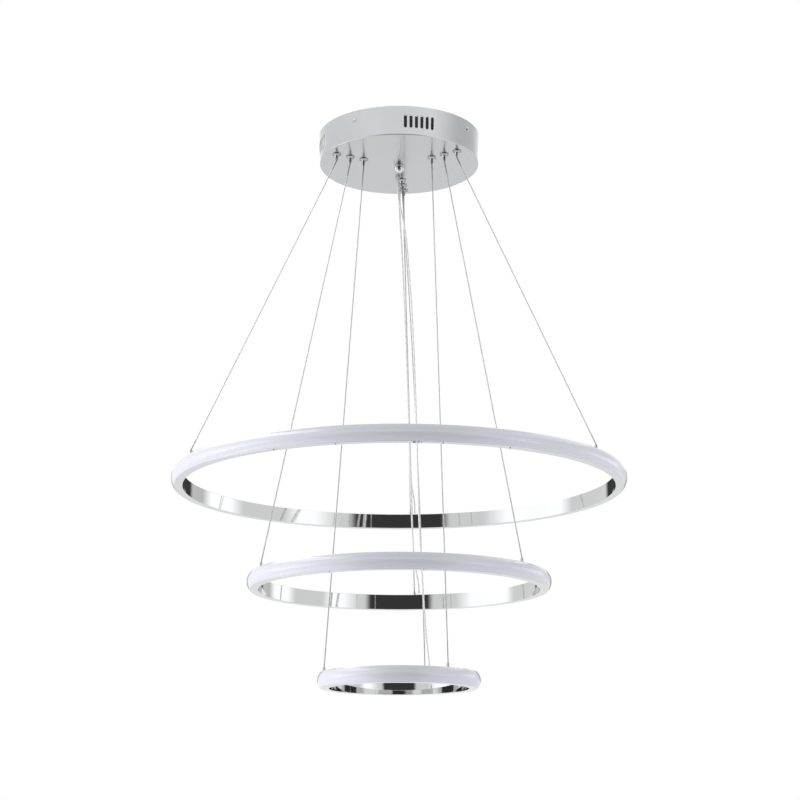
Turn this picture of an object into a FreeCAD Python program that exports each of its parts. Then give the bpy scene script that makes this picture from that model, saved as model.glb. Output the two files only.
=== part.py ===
"""Three-ring LED pendant: a round chrome canopy with three level rings hung below it on steel wires.

The origin is the centre of the ceiling face, Z points up and everything hangs below Z = 0. Lengths are
in millimetres. An azimuth is counted from -Y, the front, towards +X.
"""
import FreeCAD, Part
import math
import os

import Sketcher

Vector = FreeCAD.Vector
UP = Vector(0, 0, 1)

SIZES = {
    # canopy pan
    "canopy_height": 40.5,
    "canopy_radius": 111.6,
    "canopy_taper": 1.8,
    "canopy_wall": 1.0,
    "canopy_edge": 0.8,
    # air slots in the canopy wall
    "vent_width": 4.2,
    "vent_length": 18.0,
    "vent_pitch": 7.5,
    "vent_depth": 21.3,
    "vent_azimuth": 14.0,
    # ceiling bracket
    "bracket_thickness": 2.0,
    "bracket_width": 22.0,
    "bracket_hub_radius": 24.0,
    "bracket_ear": 20.0,
    "bracket_gap": 0.3,
    "bracket_azimuth": -33.5,
    "ceiling_hole_circle": 130.0,
    "ceiling_hole_radius": 2.75,
    # screws that hold the canopy wall to the bracket's ears
    "side_screw_depth": 12.0,
    "side_screw_radius": 2.0,
    "side_screw_head": 3.25,
    "side_screw_head_height": 1.8,
    "side_screw_length": 7.0,
    # stud and ball-shaped cap nut
    "stud_radius": 3.0,
    "stud_grip": 6.0,
    "ball_radius": 7.0,
    "ball_seat": 4.1,
    # wire grips, measured from the canopy's underside
    "grip_flange_radius": 6.0,
    "grip_flange": 1.0,
    "grip_waist_radius": 3.3,
    "grip_waist": 2.8,
    "grip_tip_radius": 2.5,
    "grip_tip": 5.0,
    "grip_stub_radius": 3.5,
    "grip_stub": 6.0,
    "nut_flats": 9.0,
    "nut_height": 2.5,
    "plunger_radius": 1.7,
    "plunger_bore": 1.1,
    "plunger_tip": 8.5,
    "plunger_top": 1.0,
    "wire_radius": 0.8,
    "wire_exit": 0.5,
    "wire_gap": 0.1,
    "wire_tail": 16.0,
    # power cords, their glands in the canopy and bushes in the rings
    "cord_radius": 1.2,
    "cord_lead_out": 18.0,
    "cord_lead_in": 14.0,
    "gland_inset": 10.0,
    "gland_side": 5.0,
    "gland_flats": 6.4,
    "gland_height": 4.0,
    "gland_shank_radius": 2.4,
    "gland_shank": 4.0,
    "bush_flats": 5.2,
    "bush_height": 3.0,
    "bush_shank_radius": 1.9,
    "bush_shank": 2.2,
    "bush_side": 6.5,
    # ring section
    "ring_height": 20.8,
    "ring_depth": 15.2,
    "ring_bulge": 4.5,
    "profile_wall": 1.3,
    "strip_width": 10.0,
    "strip_thickness": 1.6,
    "anchor_radius": 2.2,
    "anchor_height": 5.0,
    "anchor_inset": 8.0,
    "fit_gap": 0.05,
    "hole_gap": 0.2,
    # driver and terminal block
    "driver_length": 80.0,
    "driver_width": 36.0,
    "driver_height": 32.0,
    "driver_lid": 2.0,
    "driver_inset": 11.8,
    "driver_azimuth": 11.5,
    "terminal_length": 30.0,
    "terminal_width": 16.0,
    "terminal_height": 13.0,
    "terminal_offset": 46.0,
    "terminal_azimuth": -113.0,
    # the three rings: outer radius, drop of the bottom edge and turn on the wires
    "large_radius": 300.0,
    "large_drop": 499.9,
    "large_azimuth": -63.3,
    "middle_radius": 198.5,
    "middle_drop": 633.7,
    "middle_azimuth": -66.5,
    "small_radius": 105.3,
    "small_drop": 759.8,
    "small_azimuth": -81.0,
    # the grips' circles, one inside the other
    "grip_inset": 15.1,
    "grip_spacing": 20.3,
    "grip_azimuth": -64.0,
    "slack_bow": 4.0,
}

RINGS = ("large", "middle", "small")
WIRE_SIDES = ("left", "right", "far")
VENT_COUNT = 6
QUARTERS = 4

# Points that each power cord hangs through, between the leads out of its gland and into its bush.
CORD_ROUTES = {
    "large": [(1.2, 88, -84), (3.5, 103, -118), (6.5, 127, -172), (8.6, 155, -228), (10.6, 184, -284),
              (12.8, 214, -340), (15.0, 243, -392), (17.4, 266, -432), (20.6, 280.5, -449)],
    "middle": [(0.2, 66.4, -84), (2.8, 73, -124), (5.6, 84, -178), (8.4, 96, -234), (10.6, 108, -290),
               (12.6, 121, -346), (14.4, 134, -402), (16.2, 148, -458), (18.0, 161.5, -512),
               (20.6, 174, -560), (24.0, 182.5, -581)],
    "small": [(0.6, 44.8, -82), (9.0, 47, -118), (13.4, 50.5, -172), (17.4, 53, -228), (20.2, 56, -286),
              (22.4, 59, -346), (24.2, 62.5, -406), (25.6, 66, -466), (27.2, 70, -526), (30.0, 74.5, -584),
              (33.4, 79.5, -640), (35.8, 83.5, -676), (38.4, 86.4, -700)],
}


def make_sheet(doc):
    sheet = doc.addObject("Spreadsheet::Sheet", "Sizes")
    for row, (name, value) in enumerate(SIZES.items(), start=1):
        sheet.set(f"A{row}", name)
        sheet.set(f"B{row}", str(value))
        sheet.setAlias(f"B{row}", name)
    doc.recompute()
    return sheet


doc = FreeCAD.newDocument("ring_pendant")
sheet = make_sheet(doc)


def size(name):
    return float(sheet.get(name))


def polar(radius, azimuth, height=0.0):
    angle = math.radians(azimuth)
    return Vector(radius * math.sin(angle), -radius * math.cos(angle), height)


def turned_about_z(shape, azimuth):
    turn = FreeCAD.Matrix()
    turn.rotateZ(math.radians(azimuth))
    return shape.transformed(turn, True)


def add_feature(label, shape, position=Vector(0, 0, 0)):
    feature = doc.addObject("Part::Feature", label)
    feature.Shape = shape
    feature.Placement = FreeCAD.Placement(position, FreeCAD.Rotation())
    return feature


def value_of(expression):
    return float(sheet.evalExpression(expression.replace("Sizes.", "")))


def hold_point(sketch, edge, point, expressions):
    """Fix one corner's radius and height to the sheet."""
    for kind, axis, expression in zip(("DistanceX", "DistanceY"), (-2, -1), expressions):
        value = value_of(expression)
        if value == 0:
            sketch.addConstraint(Sketcher.Constraint("PointOnObject", edge, point, axis))
        else:
            index = sketch.addConstraint(Sketcher.Constraint(kind, edge, point, value))
            sketch.setExpression(f"Constraints[{index}]", expression)


def turned_body(label, corners, arc=None, drop="0"):
    """A body turned about Z from an outline of (radius, height) expressions.

    arc is (edge number, radius expression, middle point) for an outline that has one round edge.
    """
    body = doc.addObject("PartDesign::Body", label)
    sketch = body.newObject("Sketcher::SketchObject", label + "_outline")
    plane = [feature for feature in body.Origin.OriginFeatures if feature.Role == "XZ_Plane"][0]
    sketch.AttachmentSupport = [(plane, "")]
    sketch.MapMode = "FlatFace"
    points = [Vector(value_of(radius), value_of(height), 0) for radius, height in corners]
    count = len(points)
    for edge, start in enumerate(points):
        end = points[(edge + 1) % count]
        if arc and edge == arc[0]:
            middle = Vector(value_of(arc[2][0]), value_of(arc[2][1]), 0)
            sketch.addGeometry(Part.Arc(start, middle, end))
        else:
            sketch.addGeometry(Part.LineSegment(start, end))
    # An arc's first point is its start only if it runs anticlockwise, as every outline here does.
    for edge in range(count):
        sketch.addConstraint(Sketcher.Constraint("Coincident", edge, 2, (edge + 1) % count, 1))
        hold_point(sketch, edge, 1, corners[edge])
    if arc:
        index = sketch.addConstraint(Sketcher.Constraint("Radius", arc[0], value_of(arc[1])))
        sketch.setExpression(f"Constraints[{index}]", arc[1])
    turn = body.newObject("PartDesign::Revolution", label + "_turn")
    turn.Profile = sketch
    turn.ReferenceAxis = (sketch, ["V_Axis"])
    turn.Angle = 360
    body.setExpression("Placement.Base.z", f"-({drop})")
    return body


def quarter_turns():
    return [360 * quarter / QUARTERS for quarter in range(QUARTERS)]


def wire_turn(side):
    return 360 * WIRE_SIDES.index(side) / len(WIRE_SIDES)


def canopy_floor_radius():
    return size("canopy_radius") - size("canopy_taper")


def grip_circle(ring):
    return canopy_floor_radius() - size("grip_inset") - RINGS.index(ring) * size("grip_spacing")


def hexagon(flats, height, base):
    corner_radius = flats / 2 / math.cos(math.pi / 6)
    corners = [base + polar(corner_radius, 60 * corner) for corner in range(7)]
    return Part.Face(Part.makePolygon(corners)).extrude(UP * height)


def grip_places():
    """Every grip's ring, side and centre on the canopy's underside."""
    for ring in RINGS:
        for side in WIRE_SIDES:
            place = polar(grip_circle(ring), size("grip_azimuth") + wire_turn(side), -size("canopy_height"))
            yield ring, side, place


def beside(radius, azimuth, shift, height):
    """A point at a radius, moved along the circle by a length."""
    return polar(radius, azimuth + math.degrees(shift / radius), height)


def gland_place(ring):
    radius = grip_circle(ring) - size("gland_inset")
    azimuth = size("grip_azimuth") + wire_turn("far")
    return beside(radius, azimuth, size("gland_side"), -size("canopy_height"))


def ring_top(ring):
    return size("ring_height") - size(ring + "_drop")


def anchor_place(ring, side):
    radius = size(ring + "_radius") - size("anchor_inset")
    return polar(radius, size(ring + "_azimuth") + wire_turn(side), ring_top(ring))


def bush_place(ring):
    radius = size(ring + "_radius") - size("anchor_inset")
    azimuth = size(ring + "_azimuth") + wire_turn("far")
    return beside(radius, azimuth, -size("bush_side"), ring_top(ring))


# Canopy ----------------------------------------------------------------------------------------------

def vent_cutters():
    """Four groups of upright air slots with cut corners, a quarter turn apart."""
    radius = size("canopy_radius")
    half_width = size("vent_width") / 2
    half_length = size("vent_length") / 2
    corner = half_width * (2 - math.sqrt(2))
    reach = size("canopy_taper") + 4 * size("canopy_wall")
    middle = Vector(0, reach - radius, -size("vent_depth"))
    outline = [(half_width, half_length - corner), (half_width - corner, half_length),
               (corner - half_width, half_length), (-half_width, half_length - corner)]
    outline += [(-across, -along) for across, along in outline]
    outline.append(outline[0])
    points = [middle + Vector(across, 0, along) for across, along in outline]
    slot = Part.Face(Part.makePolygon(points)).extrude(Vector(0, -2 * reach, 0))
    step = math.degrees(size("vent_pitch") / radius)
    for turn in quarter_turns():
        for number in range(VENT_COUNT):
            shift = (number - (VENT_COUNT - 1) / 2) * step
            yield turned_about_z(slot, size("vent_azimuth") + turn + shift)


def side_screw_axes():
    for turn in quarter_turns():
        yield polar(1, size("bracket_azimuth") + turn)


def side_screw_seat():
    """The wall's outer radius at the side screws."""
    return size("canopy_radius") - size("canopy_taper") * size("side_screw_depth") / size("canopy_height")


def hole(radius, place, depth):
    """An upright hole through a plate whose underside is at the place."""
    return Part.makeCylinder(radius, depth + 2, place - UP)


def canopy_cutters():
    cutters = list(vent_cutters())
    wall = size("canopy_wall")
    gap = size("hole_gap")
    cutters.append(hole(size("stud_radius") + gap, Vector(0, 0, -size("canopy_height")), wall))
    for ring, side, place in grip_places():
        cutters.append(hole(size("grip_stub_radius") + gap, place, wall))
    for ring in RINGS:
        cutters.append(hole(size("gland_shank_radius") + gap, gland_place(ring), wall))
    for axis in side_screw_axes():
        start = axis * (side_screw_seat() - 3 * wall) - UP * size("side_screw_depth")
        cutters.append(Part.makeCylinder(size("side_screw_radius") + gap, 6 * wall, start, axis))
    return cutters


def make_canopy():
    floor = "Sizes.canopy_radius - Sizes.canopy_taper"
    pan = turned_body("canopy_pan", [
        ("0", "0"),
        (floor + " - Sizes.canopy_edge", "0"),
        (floor, "Sizes.canopy_edge"),
        ("Sizes.canopy_radius", "Sizes.canopy_height"),
        ("Sizes.canopy_radius - Sizes.canopy_wall", "Sizes.canopy_height"),
        (floor + " - Sizes.canopy_wall", "Sizes.canopy_wall"),
        ("0", "Sizes.canopy_wall"),
    ], drop="Sizes.canopy_height")
    cutters = add_feature("canopy_cutters", Part.makeCompound(canopy_cutters()))
    shell = doc.addObject("Part::Cut", "canopy_shell")
    shell.Base = pan
    shell.Tool = cutters
    return shell


def make_bracket():
    """A stamped cross with a round hub and an ear bent down at each end."""
    thick = size("bracket_thickness")
    width = size("bracket_width")
    drop = size("bracket_ear")
    narrowing = size("canopy_taper") * drop / size("canopy_height")
    reach = size("canopy_radius") - size("canopy_wall") - narrowing - size("bracket_gap")
    reach = math.sqrt(reach ** 2 - (width / 2) ** 2)
    arm = Part.makeBox(width, reach, thick, Vector(-width / 2, -reach, -thick))
    ear = Part.makeBox(width, thick, drop, Vector(-width / 2, -reach, -drop))
    screw_way = Part.makeCylinder(size("side_screw_radius") + size("fit_gap"), 4 * thick,
                                  Vector(0, 2 * thick - reach, -size("side_screw_depth")), Vector(0, -1, 0))
    ceiling_way = Part.makeCylinder(size("ceiling_hole_radius"), 2 * thick,
                                    Vector(0, -size("ceiling_hole_circle") / 2, -1.5 * thick))
    arm = arm.fuse(ear).cut([screw_way, ceiling_way])
    arms = [turned_about_z(arm, size("bracket_azimuth") + turn) for turn in quarter_turns()]
    hub = Part.makeCylinder(size("bracket_hub_radius"), thick, Vector(0, 0, -thick))
    return add_feature("mounting_bracket", hub.fuse(arms).removeSplitter())


def make_stud():
    stud = doc.addObject("Part::Cylinder", "centre_stud")
    stud.setExpression("Radius", "Sizes.stud_radius")
    stud.setExpression("Height", "Sizes.canopy_height - Sizes.bracket_thickness + Sizes.stud_grip")
    stud.setExpression("Placement.Base.z", "-Sizes.canopy_height - Sizes.stud_grip")
    return stud


def make_fixings():
    """The ball-shaped cap nut under the canopy and the four screws in its wall."""
    seat = size("ball_seat")
    underside = Vector(0, 0, -size("canopy_height"))
    ball = Part.makeSphere(size("ball_radius"), underside - UP * seat)
    block = 4 * size("ball_radius")
    above = Part.makeBox(block, block, block, underside - Vector(block / 2, block / 2, 0))
    thread = Part.makeCylinder(size("stud_radius") + size("fit_gap"), size("stud_grip") + seat / 4,
                               underside - UP * (size("stud_grip") + seat / 4))
    pieces = [ball.cut([above, thread])]
    seat_radius = side_screw_seat() + size("hole_gap")
    for axis in side_screw_axes():
        place = axis * seat_radius - UP * size("side_screw_depth")
        head = Part.makeCone(size("side_screw_head"), size("side_screw_head") * 0.7,
                             size("side_screw_head_height"), place, axis)
        shank = Part.makeCylinder(size("side_screw_radius"), size("side_screw_length"), place, -axis)
        pieces.append(head.fuse(shank))
    return add_feature("cap_nut_and_side_screws", Part.makeCompound(pieces))


def make_driver():
    """The LED driver: a closed case on the canopy's floor and its lid."""
    length = size("driver_length")
    width = size("driver_width")
    lid = size("driver_lid")
    corner = Vector(-length / 2, size("driver_inset") - canopy_floor_radius(),
                    size("canopy_wall") - size("canopy_height"))
    case_height = size("driver_height") - lid
    case = Part.makeBox(length, width, case_height, corner)
    uprights = [edge for edge in case.Edges if abs(edge.tangentAt(edge.FirstParameter).z) > 0.9]
    cover = Part.makeBox(length, width, lid, corner + UP * case_height)
    half_way = corner.z + case_height + lid / 2
    rims = [edge for edge in cover.Edges if min(v.Z for v in edge.Vertexes) > half_way]
    azimuth = size("driver_azimuth")
    add_feature("driver_case", turned_about_z(case.makeChamfer(lid, uprights), azimuth))
    return add_feature("driver_cover", turned_about_z(cover.makeChamfer(lid / 2, rims), azimuth))


def make_terminal_block():
    """Three-way terminal block with a barrier between its ways."""
    length = size("terminal_length")
    width = size("terminal_width")
    tall = size("terminal_height")
    floor = size("canopy_wall") - size("canopy_height")
    base = polar(size("terminal_offset"), size("terminal_azimuth"), floor)
    body = Part.makeBox(length, width, tall * 0.7, base - Vector(length / 2, width / 2, 0))
    fin_thickness = length / 15
    fins = []
    for way in range(4):
        left = base.x - length / 2 + way * (length - fin_thickness) / 3
        fins.append(Part.makeBox(fin_thickness, width, tall, Vector(left, base.y - width / 2, base.z)))
    return add_feature("terminal_block", body.fuse(fins).removeSplitter())


# Wire grips and wires --------------------------------------------------------------------------------

def make_grips():
    """Nine flared grips, their lock nuts and their release plungers."""
    body = turned_body("grip_body", [
        ("Sizes.plunger_radius + Sizes.fit_gap", "-Sizes.grip_tip"),
        ("Sizes.grip_tip_radius", "-Sizes.grip_tip"),
        ("Sizes.grip_waist_radius", "-Sizes.grip_waist"),
        ("Sizes.grip_flange_radius", "-Sizes.grip_flange"),
        ("Sizes.grip_flange_radius", "0"),
        ("Sizes.grip_stub_radius", "0"),
        ("Sizes.grip_stub_radius", "Sizes.grip_stub"),
        ("Sizes.plunger_radius + Sizes.fit_gap", "Sizes.grip_stub"),
    ])
    plunger = turned_body("grip_plunger", [
        ("Sizes.plunger_bore", "-Sizes.plunger_tip"),
        ("Sizes.plunger_radius", "-Sizes.plunger_tip"),
        ("Sizes.plunger_radius", "-Sizes.plunger_top"),
        ("Sizes.plunger_bore", "-Sizes.plunger_top"),
    ])
    doc.recompute()
    wall = size("canopy_wall")
    nut = hexagon(size("nut_flats"), size("nut_height"), Vector(0, 0, wall))
    nut = nut.cut(Part.makeCylinder(size("grip_stub_radius") + size("fit_gap"), size("grip_stub"), UP * 0))
    tail_start = -size("wire_exit") - size("plunger_tip")
    tail = Part.makeCylinder(size("wire_radius"), size("wire_tail") - tail_start, UP * tail_start)
    groups = {"wire_grips": body.Shape, "grip_nuts": nut, "wire_tails": tail}
    places = list(grip_places())
    for label, shape in groups.items():
        copies = [shape.translated(place) for ring, side, place in places]
        add_feature(label, Part.makeCompound(copies))
    for ring, side, place in places:
        add_feature(f"plunger_{ring}_{side}", plunger.Shape, place)
    return [body, plunger]


def wire_ends(ring, side, grip):
    """The ends of a wire's axis, set back so that its leaning end faces clear the tail and the anchor."""
    start = grip - UP * (size("plunger_tip") + size("wire_exit"))
    end = anchor_place(ring, side) + UP * size("anchor_height")
    lean = (start - end).getAngle(UP)
    clear = UP * (size("wire_radius") * math.sin(lean) + size("wire_gap"))
    return start - clear, end + clear


def make_wires():
    """Eight straight wires, and the far wire of the small ring, which hangs a little slack."""
    for ring, side, grip in grip_places():
        start, end = wire_ends(ring, side, grip)
        label = f"wire_{ring}_{side}"
        if (ring, side) == ("small", "far"):
            middle = (start + end) / 2 + Vector(size("slack_bow"), 0, 0)
            add_feature(label, tube(Part.Wire([Part.Arc(start, middle, end).toShape()]), size("wire_radius")))
            continue
        wire = doc.addObject("Part::Cylinder", label)
        wire.setExpression("Radius", "Sizes.wire_radius")
        wire.Height = (end - start).Length
        wire.Placement = FreeCAD.Placement(start, FreeCAD.Rotation(UP, end - start))


def tube(path, radius):
    first = path.OrderedEdges[0]
    start = first.valueAt(first.FirstParameter)
    direction = first.tangentAt(first.FirstParameter)
    if path.OrderedVertexes[0].Point.distanceToPoint(start) > 1e-6:
        start = first.valueAt(first.LastParameter)
        direction = -first.tangentAt(first.LastParameter)
    section = Part.Wire([Part.Circle(start, direction, radius).toShape()])
    return path.makePipeShell([section], True, False)


# Power cords -----------------------------------------------------------------------------------------

def rounded_path(points):
    """Straight runs joined by arcs as large as their runs allow, and the smallest arc radius."""
    edges = []
    smallest = math.inf
    previous = points[0]
    for before, corner, after in zip(points, points[1:], points[2:]):
        inward = (corner - before).normalize()
        outward = (after - corner).normalize()
        setback = 0.45 * min(before.distanceToPoint(corner), corner.distanceToPoint(after))
        half_turn = inward.getAngle(outward) / 2
        radius = setback / math.tan(half_turn)
        smallest = min(smallest, radius)
        arc_start = corner - inward * setback
        arc_end = corner + outward * setback
        centre = corner + (outward - inward).normalize() * (radius / math.cos(half_turn))
        arc_middle = centre + (corner - centre).normalize() * radius
        edges.append(Part.LineSegment(previous, arc_start).toShape())
        edges.append(Part.Arc(arc_start, arc_middle, arc_end).toShape())
        previous = arc_end
    edges.append(Part.LineSegment(previous, points[-1]).toShape())
    return Part.Wire(edges), smallest


def make_cord(ring):
    exit_point = gland_place(ring) - UP * size("gland_height")
    entry_point = bush_place(ring) + UP * size("bush_height")
    points = [exit_point, exit_point - UP * size("cord_lead_out")]
    points += [Vector(*point) for point in CORD_ROUTES[ring]]
    points += [entry_point + UP * size("cord_lead_in"), entry_point]
    path, smallest = rounded_path(points)
    solid = tube(path, size("cord_radius"))
    expected = math.pi * size("cord_radius") ** 2 * path.Length
    print(f"cord {ring}: {path.Length:.1f} mm, smallest radius {smallest:.1f} mm, "
          f"volume {solid.Volume / expected:.4f} of section by length")
    add_feature(f"cord_{ring}", solid)


def make_glands():
    """A hexagonal gland in the canopy's floor for each power cord."""
    pieces = []
    for ring in RINGS:
        place = gland_place(ring)
        head = hexagon(size("gland_flats"), size("gland_height"), place - UP * size("gland_height"))
        shank_length = size("canopy_wall") + size("gland_shank")
        shank = Part.makeCylinder(size("gland_shank_radius"), shank_length, place)
        pieces.append(head.fuse(shank))
    return add_feature("cord_glands", Part.makeCompound(pieces))


# Rings -----------------------------------------------------------------------------------------------

def make_profile(ring):
    """The bent aluminium channel, open outwards, with a hole for the cord's bush in its top."""
    inner = f"Sizes.{ring}_radius - Sizes.ring_depth"
    lip = f"Sizes.{ring}_radius - Sizes.ring_bulge"
    web = inner + " + Sizes.profile_wall"
    ceiling = "Sizes.ring_height - Sizes.profile_wall"
    channel = turned_body(ring + "_channel", [
        (inner, "0"),
        (lip, "0"),
        (lip, "Sizes.profile_wall"),
        (web, "Sizes.profile_wall"),
        (web, ceiling),
        (lip, ceiling),
        (lip, "Sizes.ring_height"),
        (inner, "Sizes.ring_height"),
    ], drop=f"Sizes.{ring}_drop")
    way = hole(size("bush_shank_radius") + size("hole_gap"),
               bush_place(ring) - UP * size("profile_wall"), size("profile_wall"))
    profile = doc.addObject("Part::Cut", ring + "_profile")
    profile.Base = channel
    profile.Tool = add_feature(ring + "_bush_way", way)


def make_diffuser(ring):
    """The opal cover, D-shaped in section, that closes the channel from outside."""
    outer = f"Sizes.{ring}_radius"
    lip = outer + " - Sizes.ring_bulge"
    bow_radius = "(Sizes.ring_bulge ^ 2 + (Sizes.ring_height / 2) ^ 2) / (2 * Sizes.ring_bulge)"
    turned_body(ring + "_diffuser", [(lip, "0"), (lip, "Sizes.ring_height")],
                arc=(0, bow_radius, (outer, "Sizes.ring_height / 2")), drop=f"Sizes.{ring}_drop")


def make_strip(ring):
    """The LED strip, stuck to the channel's web."""
    web = f"Sizes.{ring}_radius - Sizes.ring_depth + Sizes.profile_wall"
    face = web + " + Sizes.strip_thickness"
    low = "(Sizes.ring_height - Sizes.strip_width) / 2"
    high = "(Sizes.ring_height + Sizes.strip_width) / 2"
    turned_body(ring + "_led_strip", [(web, low), (face, low), (face, high), (web, high)],
                drop=f"Sizes.{ring}_drop")


def make_ring_fittings(ring):
    """Three wire anchors and the cord's bush on top of a ring."""
    pieces = []
    for side in WIRE_SIDES:
        place = anchor_place(ring, side)
        pieces.append(Part.makeCylinder(size("anchor_radius"), size("anchor_height"), place))
    place = bush_place(ring)
    head = hexagon(size("bush_flats"), size("bush_height"), place)
    shank = Part.makeCylinder(size("bush_shank_radius"), size("bush_shank"), place - UP * size("bush_shank"))
    pieces.append(head.fuse(shank))
    return add_feature(ring + "_top_fittings", Part.makeCompound(pieces))


# Document --------------------------------------------------------------------------------------------

def make_all():
    make_canopy()
    make_bracket()
    make_stud()
    make_fixings()
    make_driver()
    make_terminal_block()
    make_glands()
    make_grips()
    make_wires()
    for ring in RINGS:
        make_cord(ring)
        make_profile(ring)
        make_diffuser(ring)
        make_strip(ring)
        make_ring_fittings(ring)


def node_names():
    names = ["canopy_shell", "mounting_bracket", "centre_stud", "cap_nut_and_side_screws", "driver_case",
             "driver_cover", "terminal_block", "cord_glands", "wire_grips", "grip_nuts", "wire_tails"]
    for ring in RINGS:
        names += [f"{ring}_{piece}" for piece in ("profile", "diffuser", "led_strip", "top_fittings")]
        names += [f"plunger_{ring}_{side}" for side in WIRE_SIDES]
        names += [f"wire_{ring}_{side}" for side in WIRE_SIDES]
        names.append(f"cord_{ring}")
    return names


def check_document():
    for item in doc.Objects:
        if "Invalid" in item.State or "Error" in item.State:
            raise RuntimeError(f"{item.Name} failed: {item.State}")


def write_parts():
    os.makedirs("parts", exist_ok=True)
    for name in node_names():
        shape = doc.getObject(name).Shape
        if shape.isNull() or not shape.isValid():
            raise RuntimeError(f"{name} has no valid shape")
        shape.exportStep(f"parts/{name}.step")


make_all()
doc.recompute()
check_document()
write_parts()
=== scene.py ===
"""Looks of a three-ring LED pendant: cords, wires, rings, canopy, studio and camera.

Lengths are in metres and angles in degrees. The origin is the centre of the ceiling face, and everything
hangs below Z = 0. The photograph is taken from -Y.
"""
import math

import bmesh
import bpy
from mathutils import Matrix, Vector


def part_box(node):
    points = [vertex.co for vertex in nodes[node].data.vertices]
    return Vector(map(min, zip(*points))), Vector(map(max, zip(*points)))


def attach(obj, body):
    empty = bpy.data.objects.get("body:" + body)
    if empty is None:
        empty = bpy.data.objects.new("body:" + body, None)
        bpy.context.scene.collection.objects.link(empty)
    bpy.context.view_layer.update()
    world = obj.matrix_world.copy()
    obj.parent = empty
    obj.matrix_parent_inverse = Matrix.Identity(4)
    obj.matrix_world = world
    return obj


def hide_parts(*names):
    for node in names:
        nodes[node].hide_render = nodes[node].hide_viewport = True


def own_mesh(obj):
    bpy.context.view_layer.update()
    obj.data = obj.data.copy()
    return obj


MM = 0.001
UP = Vector((0, 0, 1))

RINGS = ("large", "middle", "small")
SIDES = ("left", "right", "far")

# The camera stands a little right of the object's axis and looks up at it.
IMAGE_SIZE = 800
FOCAL_PIXELS = 1743.1
SENSOR = 36.0
CAMERA_PLACE = Vector((1.2, -2266.4, -950.0)) * MM
CAMERA_PITCH = 14.21

# Cords: diameter, sides of the tube, millimetres to one turn of the cores, the height within which a solid's
# points belong to its end face, and the lengths that run straight out of gland and bush.
CORD_DIAMETER = 2.4 * MM
CORD_SIDES = 20
CORD_TWIST = 16
END_FACE_GAP = 0.01 * MM
CORD_LEAD_OUT = 18 * MM
CORD_LEAD_IN = 14 * MM
CORD_ROUTES = {
    "large": [(1.2, 88, -84), (3.5, 103, -118), (6.5, 127, -172), (8.6, 155, -228), (10.6, 184, -284),
              (12.8, 214, -340), (15.0, 243, -392), (17.4, 266, -432), (20.6, 280.5, -449)],
    "middle": [(0.2, 66.4, -84), (2.8, 73, -124), (5.6, 84, -178), (8.4, 96, -234), (10.6, 108, -290),
               (12.6, 121, -346), (14.4, 134, -402), (16.2, 148, -458), (18.0, 161.5, -512),
               (20.6, 174, -560), (24.0, 182.5, -581)],
    "small": [(0.6, 44.8, -82), (9.0, 47, -118), (13.4, 50.5, -172), (17.4, 53, -228), (20.2, 56, -286),
              (22.4, 59, -346), (24.2, 62.5, -406), (25.6, 66, -466), (27.2, 70, -526), (30.0, 74.5, -584),
              (33.4, 79.5, -640), (35.8, 83.5, -676), (38.4, 86.4, -700)],
}
WIRE_RADIUS = 0.8 * MM
WIRE_SIDES = 16
WIRE_STATIONS = 24
STRAND_TWIST = 4.2
SLACK_BOW = {"wire_small_far": 4 * MM}

# Ring section
RING_DEPTH = 15.2 * MM
RING_BULGE = 4.5 * MM
PROFILE_WALL = 1.3 * MM
EDGE_ROUND = 0.35 * MM
EDGE_SUPPORT = 0.12 * MM
RING_SEGMENTS = 360
RING_SHARP = 40

# Canopy pan
CANOPY_TAPER = 1.8 * MM
CANOPY_WALL = 1.0 * MM
CANOPY_EDGE = 1.2 * MM
STUD_HOLE = 3.2 * MM
GRIP_HOLE = 3.7 * MM
GLAND_HOLE = 2.6 * MM
VENT_WIDTH = 4.2 * MM
VENT_LENGTH = 18 * MM
VENT_PITCH = 7.5 * MM
VENT_DEPTH = 21.3 * MM
VENT_AZIMUTH = 14
VENT_COUNT = 6
QUARTERS = 4
DRILL_SIDES = 32
CANOPY_SHARP = 35

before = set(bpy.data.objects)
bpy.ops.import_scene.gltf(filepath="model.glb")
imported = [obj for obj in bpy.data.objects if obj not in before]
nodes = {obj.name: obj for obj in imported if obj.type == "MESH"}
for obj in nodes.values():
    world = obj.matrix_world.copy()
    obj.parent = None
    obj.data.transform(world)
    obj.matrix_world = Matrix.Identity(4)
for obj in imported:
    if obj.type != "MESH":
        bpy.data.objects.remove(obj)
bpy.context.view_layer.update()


# Mesh helpers ----------------------------------------------------------------------------------------

def new_object(name, data):
    piece = bpy.data.objects.new(name, data)
    bpy.context.scene.collection.objects.link(piece)
    return piece


def mesh_object(name, vertices, faces, loop_uvs=None):
    mesh = bpy.data.meshes.new(name)
    mesh.from_pydata([tuple(vertex) for vertex in vertices], [], faces)
    mesh.validate()
    if loop_uvs:
        layer = mesh.uv_layers.new(name="UVMap")
        for polygon in mesh.polygons:
            for loop, uv in zip(polygon.loop_indices, loop_uvs[polygon.index]):
                layer.data[loop].uv = uv
    mesh.polygons.foreach_set("use_smooth", [True] * len(mesh.polygons))
    return new_object(name, mesh)


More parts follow.
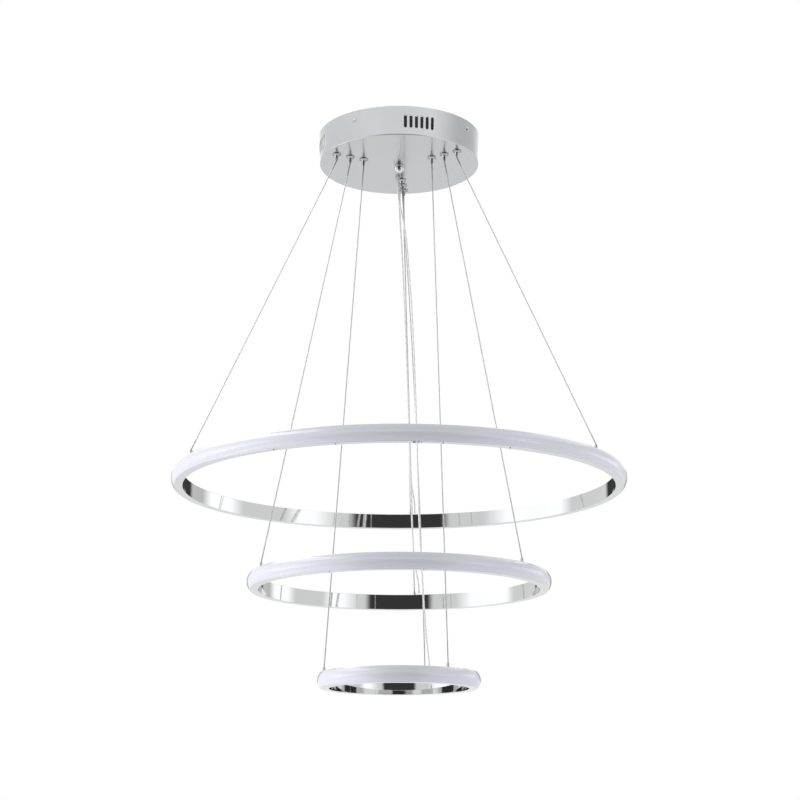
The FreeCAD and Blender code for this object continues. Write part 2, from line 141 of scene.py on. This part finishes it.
def tube(name, points, radius, sides):
    """A smooth closed tube along points. Its UVs give millimetres along it and turns round it."""
    frames = []
    normal = None
    for index, point in enumerate(points):
        before = points[max(index - 1, 0)]
        after = points[min(index + 1, len(points) - 1)]
        tangent = (after - before).normalized()
        if normal is None:
            normal = tangent.orthogonal()
        normal = (normal - tangent * normal.dot(tangent)).normalized()
        frames.append((point, normal, tangent.cross(normal)))
    vertices = []
    for point, across, along in frames:
        for side in range(sides):
            angle = 2 * math.pi * side / sides
            vertices.append(point + (across * math.cos(angle) + along * math.sin(angle)) * radius)
    lengths = [0.0]
    for start, end in zip(points, points[1:]):
        lengths.append(lengths[-1] + (end - start).length / MM)
    faces = []
    uvs = []
    for ring in range(len(points) - 1):
        for side in range(sides):
            following = (side + 1) % sides
            low = ring * sides
            high = low + sides
            faces.append((low + side, low + following, high + following, high + side))
            left = side / sides
            right = (side + 1) / sides
            uvs.append([(lengths[ring], left), (lengths[ring], right),
                        (lengths[ring + 1], right), (lengths[ring + 1], left)])
    last = (len(points) - 1) * sides
    for cap in (range(sides - 1, -1, -1), range(last, last + sides)):
        faces.append(tuple(cap))
        uvs.append([(0.0, 0.0)] * sides)
    piece = mesh_object(name, vertices, faces, uvs)
    for polygon in piece.data.polygons[-2:]:
        polygon.use_smooth = False
    return piece


def rounded(corners, radius, steps=3):
    """A closed outline with each corner cut round.

    A point just outside each round part keeps the flat faces' shading flat. A corner with a third value keeps
    its own radius.
    """
    outline = []
    count = len(corners)
    for index, corner in enumerate(corners):
        own = corner[2] if len(corner) > 2 else radius
        here = Vector(corner[:2])
        inward = (Vector(corners[index - 1][:2]) - here).normalized()
        outward = (Vector(corners[(index + 1) % count][:2]) - here).normalized()
        if own == 0:
            outline.append(here)
            continue
        half = inward.angle(outward) / 2
        setback = own / math.tan(half)
        centre = here + (inward + outward).normalized() * (own / math.sin(half))
        start = here + inward * setback - centre
        end = here + outward * setback - centre
        outline.append(here + inward * (setback + EDGE_SUPPORT))
        for step in range(steps + 1):
            share = step / steps
            outline.append(centre + (start * (1 - share) + end * share).normalized() * own)
        outline.append(here + outward * (setback + EDGE_SUPPORT))
    return outline


def lathe(name, outline, segments, centre=Vector((0, 0, 0))):
    """A smooth solid of revolution about Z from a closed (radius, height) outline."""
    vertices = []
    for segment in range(segments):
        angle = 2 * math.pi * segment / segments
        for radius, height in outline:
            vertices.append(centre + Vector((radius * math.sin(angle), -radius * math.cos(angle), height)))
    count = len(outline)
    faces = []
    for segment in range(segments):
        low = segment * count
        high = (segment + 1) % segments * count
        for index in range(count):
            following = (index + 1) % count
            faces.append((low + index, high + index, high + following, low + following))
    return outward_normals(mesh_object(name, vertices, faces))


def outward_normals(piece):
    work = bmesh.new()
    work.from_mesh(piece.data)
    bmesh.ops.recalc_face_normals(work, faces=work.faces)
    work.to_mesh(piece.data)
    work.free()
    return piece


def sharp_by_angle(piece, degrees):
    piece.data.set_sharp_from_angle(angle=math.radians(degrees))


def end_centre(node, top):
    """The centre of a wire's end face, read from its solid."""
    corners = [vertex.co for vertex in nodes[node].data.vertices]
    height = max(corner.z for corner in corners) if top else min(corner.z for corner in corners)
    face = [corner for corner in corners if abs(corner.z - height) < WIRE_RADIUS]
    return sum(face, Vector()) / len(face)


# Materials -------------------------------------------------------------------------------------------

class Material:
    """A node material on one Principled shader, with helpers that add procedural detail."""

    def __init__(self, name, **values):
        self.material = bpy.data.materials.new(name)
        self.material.use_nodes = True
        self.nodes = self.material.node_tree.nodes
        self.links = self.material.node_tree.links
        self.shader = self.nodes["Principled BSDF"]
        for socket, value in values.items():
            self.shader.inputs[socket.replace("_", " ")].default_value = value

    def add(self, kind, **values):
        node = self.nodes.new(kind)
        for name, value in values.items():
            if hasattr(node, name):
                setattr(node, name, value)
            else:
                node.inputs[name.replace("_", " ")].default_value = value
        return node

    def coordinates(self, kind="Object", scale=(1, 1, 1)):
        source = self.add("ShaderNodeTexCoord")
        mapping = self.add("ShaderNodeMapping")
        mapping.inputs["Scale"].default_value = scale
        self.links.new(source.outputs[kind], mapping.inputs["Vector"])
        return mapping.outputs["Vector"]

    def noise(self, vector, scale, detail=3.0, roughness=0.5):
        node = self.add("ShaderNodeTexNoise", Scale=scale, Detail=detail, Roughness=roughness)
        self.links.new(vector, node.inputs["Vector"])
        return node.outputs["Fac"]

    def spread(self, value, low, high):
        node = self.add("ShaderNodeMapRange")
        node.inputs["To Min"].default_value = low
        node.inputs["To Max"].default_value = high
        self.links.new(value, node.inputs["Value"])
        return node.outputs["Result"]

    def colours(self, value, stops):
        ramp = self.add("ShaderNodeValToRGB")
        elements = ramp.color_ramp.elements
        while len(elements) < len(stops):
            elements.new(0.5)
        for element, (place, colour) in zip(elements, stops):
            element.position = place
            element.color = (*colour, 1)
        self.links.new(value, ramp.inputs["Fac"])
        return ramp.outputs["Color"]

    def to(self, output, socket):
        self.links.new(output, self.shader.inputs[socket])
        return self

    def bump(self, height, strength, distance):
        node = self.add("ShaderNodeBump", Strength=strength, Distance=distance)
        self.links.new(height, node.inputs["Height"])
        return self.to(node.outputs["Normal"], "Normal")


def polished_metal(name, colour, low, high, ripple, coat=0.0):
    """Plated metal: smooth, with faint polishing marks and a trace of waviness in its reflections."""
    look = Material(name, Metallic=1.0, Coat_Weight=coat, Coat_Roughness=0.02)
    place = look.coordinates()
    smudges = look.noise(place, 40, detail=4)
    look.to(look.spread(smudges, low, high), "Roughness")
    tint = [tuple(channel * shade for channel in colour) for shade in (0.97, 1.0)]
    look.to(look.colours(look.noise(place, 14), [(0.3, tint[0]), (0.7, tint[1])]), "Base Color")
    look.bump(look.noise(place, 25, detail=1), ripple, 0.2 * MM)
    return look.material


def brushed_metal(name, colour, grain):
    look = Material(name, Metallic=1.0)
    place = look.coordinates(scale=grain)
    lines = look.noise(place, 900, detail=6, roughness=0.7)
    look.to(look.spread(lines, 0.25, 0.45), "Roughness")
    tint = [tuple(channel * shade for channel in colour) for shade in (0.8, 1.0)]
    look.to(look.colours(lines, [(0.3, tint[0]), (0.7, tint[1])]), "Base Color")
    look.bump(lines, 0.25, 0.05 * MM)
    return look.material


def stranded_wire():
    """Fine steel rope: the strands run round it as a steep spiral."""
    look = Material("stranded_wire", Metallic=1.0)
    place = look.coordinates("UV", scale=(1 / STRAND_TWIST, 1, 1))
    strands = look.add("ShaderNodeTexWave", Scale=1.0, Distortion=0.0)
    strands.bands_direction = "DIAGONAL"
    look.links.new(place, strands.inputs["Vector"])
    height = strands.outputs["Fac"]
    look.to(look.colours(height, [(0.1, (0.42, 0.42, 0.42)), (0.75, (0.64, 0.64, 0.64))]), "Base Color")
    look.to(look.spread(height, 0.55, 0.42), "Roughness")
    look.bump(height, 0.5, 0.08 * MM)
    return look.material


def clear_cord():
    """Clear sheath over twisted pale cores."""
    look = Material("clear_cord", IOR=1.45, Coat_Weight=0.3, Coat_Roughness=0.15)
    place = look.coordinates("UV", scale=(1 / CORD_TWIST, 1, 1))
    cores = look.add("ShaderNodeTexWave", Scale=1.0, Distortion=0.0)
    cores.bands_direction = "DIAGONAL"
    look.links.new(place, cores.inputs["Vector"])
    look.to(look.colours(cores.outputs["Fac"],
                         [(0.15, (0.54, 0.54, 0.53)), (0.6, (0.65, 0.65, 0.64))]), "Base Color")
    look.to(look.spread(cores.outputs["Fac"], 0.3, 0.22), "Roughness")
    look.bump(cores.outputs["Fac"], 0.05, 0.1 * MM)
    return look.material


def opal_plastic_painted_shade():
    """Extruded opal acrylic: a satin gloss with faint draw marks and a soft depth. Its grey-blue base colour
    is partly its own and partly painted shade: the white opal is darkened to the tone of its shaded front.
    """
    look = Material("opal_plastic_painted_shade", IOR=1.6, Coat_Weight=0.8, Coat_Roughness=0.06)
    place = look.coordinates()
    cloud = look.noise(place, 9, detail=2)
    # Painted shade: the opal's base colour is darkened to the tone of its shaded front, and the side lamps
    # lighten its sides.
    look.to(look.colours(cloud, [(0.3, (0.475, 0.48, 0.54)), (0.7, (0.49, 0.495, 0.555))]), "Base Color")
    look.to(look.spread(look.noise(place, 60, detail=4), 0.3, 0.38), "Roughness")
    look.bump(look.noise(look.coordinates(scale=(1, 1, 30)), 60, detail=1), 0.01, 0.1 * MM)
    return look.material


def moulded_plastic(name, colour):
    look = Material(name, IOR=1.5)
    place = look.coordinates()
    grain = look.noise(place, 1800, detail=2)
    tint = [tuple(channel * shade for channel in colour) for shade in (0.96, 1.0)]
    look.to(look.colours(look.noise(place, 30), [(0.3, tint[0]), (0.7, tint[1])]), "Base Color")
    look.to(look.spread(grain, 0.42, 0.58), "Roughness")
    look.bump(grain, 0.2, 0.05 * MM)
    return look.material


def strip_board():
    look = Material("strip_board", IOR=1.5)
    place = look.coordinates()
    look.to(look.colours(look.noise(place, 70), [(0.35, (0.82, 0.80, 0.66)), (0.65, (0.9, 0.89, 0.82))]),
            "Base Color")
    look.to(look.spread(look.noise(place, 500), 0.35, 0.6), "Roughness")
    return look.material


def floor_paint():
    look = Material("floor_paint")
    place = look.coordinates()
    look.to(look.colours(look.noise(place, 3), [(0.3, (0.79, 0.79, 0.79)), (0.7, (0.81, 0.81, 0.81))]),
            "Base Color")
    look.to(look.spread(look.noise(place, 20), 0.75, 0.9), "Roughness")
    return look.material


def finish_piece(piece, material):
    piece.data.materials.clear()
    piece.data.materials.append(material)
    return piece


# Cords -----------------------------------------------------------------------------------------------

def cord_ends(ring):
    """Where a cord leaves its gland and enters its bush, read from its solid."""
    corners = [vertex.co for vertex in nodes[f"cord_{ring}"].data.vertices]
    ends = []
    for height in (max(corner.z for corner in corners), min(corner.z for corner in corners)):
        face = [corner for corner in corners if abs(corner.z - height) < END_FACE_GAP]
        ends.append(sum(face, Vector()) / len(face))
    return ends


def cord_line(ring):
    """Points along the cord's smooth line."""
    exit_point, entry_point = cord_ends(ring)
    route = [exit_point, exit_point - UP * CORD_LEAD_OUT]
    route += [Vector(point) * MM for point in CORD_ROUTES[ring]]
    route += [entry_point + UP * CORD_LEAD_IN, entry_point]
    curve = bpy.data.curves.new(f"cord_{ring}_line", "CURVE")
    curve.dimensions = "3D"
    curve.resolution_u = 8
    spline = curve.splines.new("NURBS")
    spline.points.add(len(route) - 1)
    for control, point in zip(spline.points, route):
        control.co = (*point, 1)
    spline.order_u = 3
    spline.use_endpoint_u = True
    line = new_object(curve.name, curve)
    bpy.context.view_layer.update()
    mesh = bpy.data.meshes.new_from_object(line)
    points = [vertex.co.copy() for vertex in mesh.vertices]
    bpy.data.objects.remove(line)
    bpy.data.meshes.remove(mesh)
    return points


def shorten_with(piece, fixed, moving):
    """Gives the piece its own copy of its mesh."""
    tuple(fixed)
    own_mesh(piece)


def make_cord(ring, material):
    points = cord_line(ring)
    length = sum((end - start).length for start, end in zip(points, points[1:]))
    cord = tube(f"power_cord_{ring}", points, CORD_DIAMETER / 2, CORD_SIDES)
    piece = finish_piece(cord, material)
    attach(piece, "canopy")
    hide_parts(f"cord_{ring}")
    shorten_with(piece, points[0], points[-1])
    tuple(points[0])
    [tuple(point) for point in points]


cord_finish = clear_cord()
for ring in RINGS:
    make_cord(ring, cord_finish)


# Wires -----------------------------------------------------------------------------------------------

def make_wire(node, material):
    start = end_centre(node, top=True)
    end = end_centre(node, top=False)
    bow = SLACK_BOW.get(node, 0.0)
    points = []
    for station in range(WIRE_STATIONS + 1):
        share = station / WIRE_STATIONS
        points.append(start.lerp(end, share) + Vector((4 * bow * share * (1 - share), 0, 0)))
    piece = finish_piece(tube(node + "_rope", points, WIRE_RADIUS, WIRE_SIDES), material)
    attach(piece, "canopy")
    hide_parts(node)
    shorten_with(piece, start, end)


rope = stranded_wire()
for ring in RINGS:
    for side in SIDES:
        make_wire(f"wire_{ring}_{side}", rope)


# Rings -----------------------------------------------------------------------------------------------

def make_ring(ring, metal, opal):
    """The polished channel and the opal cover of one ring."""
    low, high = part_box(f"{ring}_diffuser")
    outer = (high[0] - low[0]) / 2
    lip = outer - RING_BULGE
    inner = outer - RING_DEPTH
    bottom, top = low[2], high[2]
    web = inner + PROFILE_WALL
    outline = rounded([
        (inner, bottom), (lip, bottom), (lip, bottom + PROFILE_WALL), (web, bottom + PROFILE_WALL),
        (web, top - PROFILE_WALL), (lip, top - PROFILE_WALL), (lip, top), (inner, top),
    ], EDGE_ROUND)
    profile = finish_piece(lathe(f"{ring}_channel", outline, RING_SEGMENTS), metal)
    sharp_by_angle(profile, RING_SHARP)
    half = (top - bottom) / 2
    bow = (RING_BULGE ** 2 + half ** 2) / (2 * RING_BULGE)
    spread = math.asin(half / bow)
    steps = 24
    cover = [(lip, bottom + EDGE_ROUND)]
    for step in range(1, steps):
        angle = spread * (2 * step / steps - 1)
        cover.append((outer - bow + bow * math.cos(angle), (bottom + top) / 2 + bow * math.sin(angle)))
    cover.append((lip, top - EDGE_ROUND))
    diffuser = finish_piece(lathe(f"{ring}_cover", cover, RING_SEGMENTS), opal)
    sharp_by_angle(diffuser, RING_SHARP)
    for piece, node in ((profile, f"{ring}_profile"), (diffuser, f"{ring}_diffuser")):
        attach(piece, f"{ring}_ring")
        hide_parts(node)


mirror = polished_metal("mirror_aluminium", (0.66, 0.665, 0.67), 0.015, 0.035, 0.02)
# The covers' opal carries painted shade in its base colour.
opal = opal_plastic_painted_shade()
for ring in RINGS:
    make_ring(ring, mirror, opal)


# Canopy and the other solids -------------------------------------------------------------------------

def vent_columns(radius):
    """Each air slot as the azimuths across its width, each with half its height there."""
    half = VENT_WIDTH / 2
    straight = VENT_LENGTH / 2 - half
    steps = 8
    pitch = VENT_PITCH / radius
    for quarter in range(QUARTERS):
        group = math.radians(VENT_AZIMUTH + 360 / QUARTERS * quarter)
        for number in range(VENT_COUNT):
            middle = group + (number - (VENT_COUNT - 1) / 2) * pitch
            columns = []
            for step in range(steps + 1):
                angle = math.pi * step / steps
                columns.append((middle - half * math.cos(angle) / radius, straight + half * math.sin(angle)))
            yield columns


def floor_holes(height):
    """Middle and radius of the holes for the grips and glands in the pan's floor."""
    for ring in RINGS:
        for side in SIDES:
            low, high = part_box(f"plunger_{ring}_{side}")
            yield Vector(((low[0] + high[0]) / 2, (low[1] + high[1]) / 2, height)), GRIP_HOLE
        exit_point = cord_ends(ring)[0]
        yield Vector((exit_point.x, exit_point.y, height)), GLAND_HOLE


def drill(piece, holes):
    """Cuts upright round holes through a thin floor."""
    work = bmesh.new()
    for place, radius in holes:
        bmesh.ops.create_cone(work, cap_ends=True, segments=DRILL_SIDES, radius1=radius, radius2=radius,
                              depth=4 * CANOPY_WALL, matrix=Matrix.Translation(place))
    mesh = bpy.data.meshes.new("drill")
    work.to_mesh(mesh)
    work.free()
    cutter = new_object("drill", mesh)
    cut = piece.modifiers.new("drill", "BOOLEAN")
    cut.operation = "DIFFERENCE"
    cut.solver = "EXACT"
    cut.object = cutter
    bpy.context.view_layer.update()
    drilled = bpy.data.meshes.new_from_object(piece.evaluated_get(bpy.context.evaluated_depsgraph_get()))
    piece.modifiers.clear()
    piece.data = drilled
    bpy.data.objects.remove(cutter)
    bpy.data.meshes.remove(mesh)


def canopy_columns(radius):
    """All azimuths of the wall, each with its slot's half height or None between the slots."""
    vents = sorted(vent_columns(radius), key=lambda columns: columns[0][0])
    plain = math.radians(0.5)
    result = []
    for index, columns in enumerate(vents):
        result += [(azimuth, half, index) for azimuth, half in columns]
        here = columns[-1][0]
        following = vents[(index + 1) % len(vents)][0][0]
        gap = (following - here) % (2 * math.pi)
        count = max(1, round(gap / plain))
        result += [(here + gap * step / count, None, None) for step in range(1, count)]
    return result


def make_canopy(material):
    """The pan: a wall with round-ended air slots, a rounded rim and a flat floor."""
    low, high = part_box("canopy_shell")
    top = (high[0] - low[0]) / 2
    bottom = top - CANOPY_TAPER
    depth = -low[2]
    straight = VENT_LENGTH / 2 - VENT_WIDTH / 2

    def wall_radius(height):
        return top + CANOPY_TAPER * height / depth

    rim = []
    rim_steps = 6
    rim_height = CANOPY_EDGE - depth
    for step in range(rim_steps + 1):
        angle = math.pi / 2 * step / rim_steps
        rim.append((wall_radius(rim_height) - CANOPY_EDGE * (1 - math.sin(angle)),
                    rim_height - CANOPY_EDGE * math.cos(angle)))
    columns = canopy_columns(top)
    vertices = []
    floor_end = (rim[0][0] - EDGE_SUPPORT, -depth)
    wall_start = (wall_radius(rim[-1][1] + EDGE_SUPPORT), rim[-1][1] + EDGE_SUPPORT)
    for azimuth, half, _ in columns:
        half = straight if half is None else half
        outer = [(wall_radius(z), z) for z in (-VENT_DEPTH - half, -VENT_DEPTH + half, 0.0)]
        inner = [(radius - CANOPY_WALL, z) for radius, z in reversed(outer)]
        profile = [(STUD_HOLE, -depth), floor_end] + rim + [wall_start] + outer + inner
        profile += [(bottom - CANOPY_WALL, CANOPY_WALL - depth), (STUD_HOLE, CANOPY_WALL - depth)]
        vertices += [(radius * math.sin(azimuth), -radius * math.cos(azimuth), z) for radius, z in profile]
    count = len(profile)
    outer_low = 3 + len(rim)
    outer_high = outer_low + 1
    inner_high = outer_low + 4
    inner_low = outer_low + 5
    open_rows = (outer_low, inner_high)
    faces = []
    for index, (_, _, slot) in enumerate(columns):
        next_index = (index + 1) % len(columns)
        here = index * count
        there = next_index * count
        in_slot = slot is not None and slot == columns[next_index][2]
        for row in range(count):
            if in_slot and row in open_rows:
                continue
            following = (row + 1) % count
            faces.append((here + row, there + row, there + following, here + following))
        if in_slot:
            faces.append((here + outer_low, there + outer_low, there + inner_low, here + inner_low))
            faces.append((here + outer_high, there + outer_high, there + inner_high, here + inner_high))
        elif slot is not None or columns[next_index][2] is not None:
            edge = here if slot is not None else there
            faces.append((edge + outer_low, edge + outer_high, edge + inner_high, edge + inner_low))
    piece = outward_normals(mesh_object("canopy_pan", vertices, faces))
    drill(piece, floor_holes(CANOPY_WALL / 2 - depth))
    finish_piece(piece, material)
    sharp_by_angle(piece, CANOPY_SHARP)
    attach(piece, "canopy")
    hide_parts("canopy_shell")


chrome = polished_metal("canopy_chrome", (0.53, 0.55, 0.566), 0.24, 0.28, 0.02, coat=1.0)
fitting_chrome = polished_metal("fitting_chrome", (0.66, 0.66, 0.665), 0.02, 0.05, 0.02)
# Darker than the fitting chrome: painted shade on the wire grips and their plungers.
painted_shade_grip_chrome = polished_metal("painted_shade_grip_chrome", (0.42, 0.42, 0.425), 0.03, 0.07, 0.02)
zinc = brushed_metal("zinc_steel", (0.55, 0.56, 0.57), (1, 8, 1))
tail_steel = brushed_metal("tail_steel", (0.5, 0.5, 0.51), (6, 6, 1))
white = moulded_plastic("white_plastic", (0.82, 0.82, 0.80))
gland_plastic = moulded_plastic("gland_plastic", (0.42, 0.43, 0.43))
# Near black: painted shade. The driver's case and cover stand behind the canopy's air slots and make them look
# dark inside.
painted_shade_case_plastic = moulded_plastic("painted_shade_case_plastic", (0.02, 0.02, 0.021))
board = strip_board()

make_canopy(chrome)

SOLID_FINISHES = {
    "mounting_bracket": zinc,
    "centre_stud": zinc,
    "cap_nut_and_side_screws": fitting_chrome,
    # The driver's case and cover carry the near-black painted shade.
    "driver_case": painted_shade_case_plastic,
    "driver_cover": painted_shade_case_plastic,
    "terminal_block": white,
    "cord_glands": gland_plastic,
    # The grips and plungers take the darker chrome, which is painted shade.
    "wire_grips": painted_shade_grip_chrome,
    "grip_nuts": zinc,
    "wire_tails": tail_steel,
}
for ring in RINGS:
    SOLID_FINISHES[f"{ring}_led_strip"] = board
    SOLID_FINISHES[f"{ring}_top_fittings"] = fitting_chrome
    for side in SIDES:
        SOLID_FINISHES[f"plunger_{ring}_{side}"] = painted_shade_grip_chrome
for node, finish in SOLID_FINISHES.items():
    finish_piece(nodes[node], finish)


# Studio ----------------------------------------------------------------------------------------------

FLOOR_DEPTH = 1.9
FLOOR_SIZE = 40.0
SCREEN_RADIUS = 4.0
SCREEN_STEPS = 72
# Brightness of the studio's round screens.
DARK = 0.05
SHADE = 0.7
PALE = 0.9
SOFT = 1.2
BRIGHT = 1.5
LAMP = 4.0
# Panels of a screen: from azimuth, to azimuth, brightness. Azimuth 0 is the camera's side and +90 is to its
# right. Between two panels the brightness changes evenly. The camera's side is dark, and soft boxes stand at
# both sides.
LOW_PANELS = [(-180, -45, PALE), (-40, 40, DARK), (45, 180, PALE)]
CARD_PANELS = [(-180, -105, PALE), (-95, -75, LAMP), (-60, -30, PALE), (-25, 25, DARK), (30, 45, PALE),
               (55, 65, LAMP), (75, 180, PALE)]
WALL_PANELS = [(-180, -160, DARK), (-155, -115, PALE), (-105, -65, BRIGHT), (-50, -30, PALE),
               (-25, 25, DARK), (30, 35, PALE), (50, 60, BRIGHT), (70, 100, PALE), (110, 130, BRIGHT),
               (140, 155, SHADE), (160, 180, DARK)]
HIGH_PANELS = [(-180, -170, SOFT), (-150, -60, PALE), (-30, 45, SOFT), (90, 130, SHADE), (170, 180, SOFT)]
TOP_PANELS = [(-180, -160, BRIGHT), (-140, -55, LAMP), (-40, 40, SHADE), (55, 180, BRIGHT)]
SCREENS = [
    ("low_screen", -1.9, -0.85, LOW_PANELS),
    ("card_screen", -0.85, -0.55, CARD_PANELS),
    ("wall_screen", -0.55, 0.42, WALL_PANELS),
    ("high_screen", 0.42, 2.2, HIGH_PANELS),
    ("top_screen", 2.2, 5.0, TOP_PANELS),
]
FLAG_ANGLE = 38
FLAG_START = 0.4
FLAG_LIFT = 0.01
LIGHT_DISTANCE = 3.0
LIGHT_HEIGHT = -0.55
LIGHT_SIZE = 1.6


def around(radius, azimuth, height):
    angle = math.radians(azimuth)
    return (radius * math.sin(angle), -radius * math.cos(angle), height)


def unseen_stage(piece, material):
    """Part of the studio that only shows as a reflection in the object."""
    finish_piece(piece, material)
    piece.visible_camera = False
    piece.visible_diffuse = False
    piece.visible_shadow = False


def screen_light(name, panels):
    """A glow whose brightness follows the panels round the Z axis."""
    look = Material(name)
    look.material.cycles.emission_sampling = "NONE"
    look.nodes.remove(look.shader)
    place = look.add("ShaderNodeTexCoord")
    parts = look.add("ShaderNodeSeparateXYZ")
    look.links.new(place.outputs["Object"], parts.inputs["Vector"])
    toward = look.add("ShaderNodeMath", operation="MULTIPLY")
    toward.inputs[1].default_value = -1.0
    look.links.new(parts.outputs["Y"], toward.inputs[0])
    azimuth = look.add("ShaderNodeMath", operation="ARCTAN2")
    look.links.new(parts.outputs["X"], azimuth.inputs[0])
    look.links.new(toward.outputs[0], azimuth.inputs[1])
    share = look.add("ShaderNodeMapRange")
    share.inputs["From Min"].default_value = -math.pi
    share.inputs["From Max"].default_value = math.pi
    look.links.new(azimuth.outputs[0], share.inputs["Value"])
    brightest = max(panel[2] for panel in panels)
    stops = [((edge + 180) / 360, (brightness / brightest,) * 3)
             for start, end, brightness in panels for edge in (start, end)]
    glow = look.add("ShaderNodeEmission", Strength=brightest)
    look.links.new(look.colours(share.outputs["Result"], stops), glow.inputs["Color"])
    look.links.new(glow.outputs["Emission"], look.nodes["Material Output"].inputs["Surface"])
    return look.material


def make_screens():
    azimuths = [360 * step / SCREEN_STEPS for step in range(SCREEN_STEPS)]
    for name, low, high, panels in SCREENS:
        vertices = [around(SCREEN_RADIUS, azimuth, height) for height in (low, high) for azimuth in azimuths]
        faces = []
        for step in range(SCREEN_STEPS):
            following = (step + 1) % SCREEN_STEPS
            faces.append((step, following, SCREEN_STEPS + following, SCREEN_STEPS + step))
        unseen_stage(mesh_object(name, vertices, faces), screen_light(name + "_light", panels))


def make_flag():
    """A grey cloth on the floor on the camera's side."""
    steps = 12
    height = FLAG_LIFT - FLOOR_DEPTH
    vertices = []
    for step in range(steps + 1):
        azimuth = FLAG_ANGLE * (2 * step / steps - 1)
        vertices += [around(FLAG_START, azimuth, height), around(SCREEN_RADIUS, azimuth, height)]
    faces = [(2 * step, 2 * step + 1, 2 * step + 3, 2 * step + 2) for step in range(steps)]
    unseen_stage(mesh_object("floor_flag", vertices, faces), moulded_plastic("grey_cloth", (0.25, 0.25, 0.25)))


def side_light(name, azimuth, power):
    """A soft lamp level with the rings that lights only matt surfaces."""
    lamp = bpy.data.lights.new(name, "AREA")
    lamp.shape = "RECTANGLE"
    lamp.size = LIGHT_SIZE
    lamp.size_y = LIGHT_SIZE
    lamp.energy = power
    piece = new_object(name, lamp)
    piece.location = around(LIGHT_DISTANCE, azimuth, LIGHT_HEIGHT)
    toward = Vector((0, 0, LIGHT_HEIGHT)) - piece.location
    piece.rotation_euler = toward.to_track_quat("-Z", "Y").to_euler()
    piece.visible_camera = False
    piece.visible_glossy = False


def make_floor():
    half = FLOOR_SIZE / 2
    corners = [(-half, -half), (half, -half), (half, half), (-half, half)]
    piece = mesh_object("floor", [(x, y, -FLOOR_DEPTH) for x, y in corners], [(0, 1, 2, 3)])
    finish_piece(piece, floor_paint())


def make_world():
    world = bpy.data.worlds.new("studio")
    world.use_nodes = True
    background = world.node_tree.nodes["Background"]
    background.inputs["Color"].default_value = (1, 1, 1, 1)
    background.inputs["Strength"].default_value = 1.0
    world.cycles.sampling_method = "NONE"
    bpy.context.scene.world = world


def make_camera():
    lens = bpy.data.cameras.new("camera")
    lens.sensor_width = SENSOR
    lens.lens = FOCAL_PIXELS * SENSOR / IMAGE_SIZE
    lens.clip_start = 0.05
    lens.clip_end = 100
    lens.dof.use_dof = False
    piece = new_object("camera", lens)
    piece.location = CAMERA_PLACE
    piece.rotation_euler = (math.radians(90 + CAMERA_PITCH), 0, 0)
    bpy.context.scene.camera = piece


make_floor()
make_world()
make_screens()
make_flag()
side_light("left_light", -86, 80)
side_light("right_light", 92, 29)
make_camera()

scene = bpy.context.scene
scene.view_settings.view_transform = "Standard"
scene.view_settings.look = "None"
scene.view_settings.exposure = 0.0
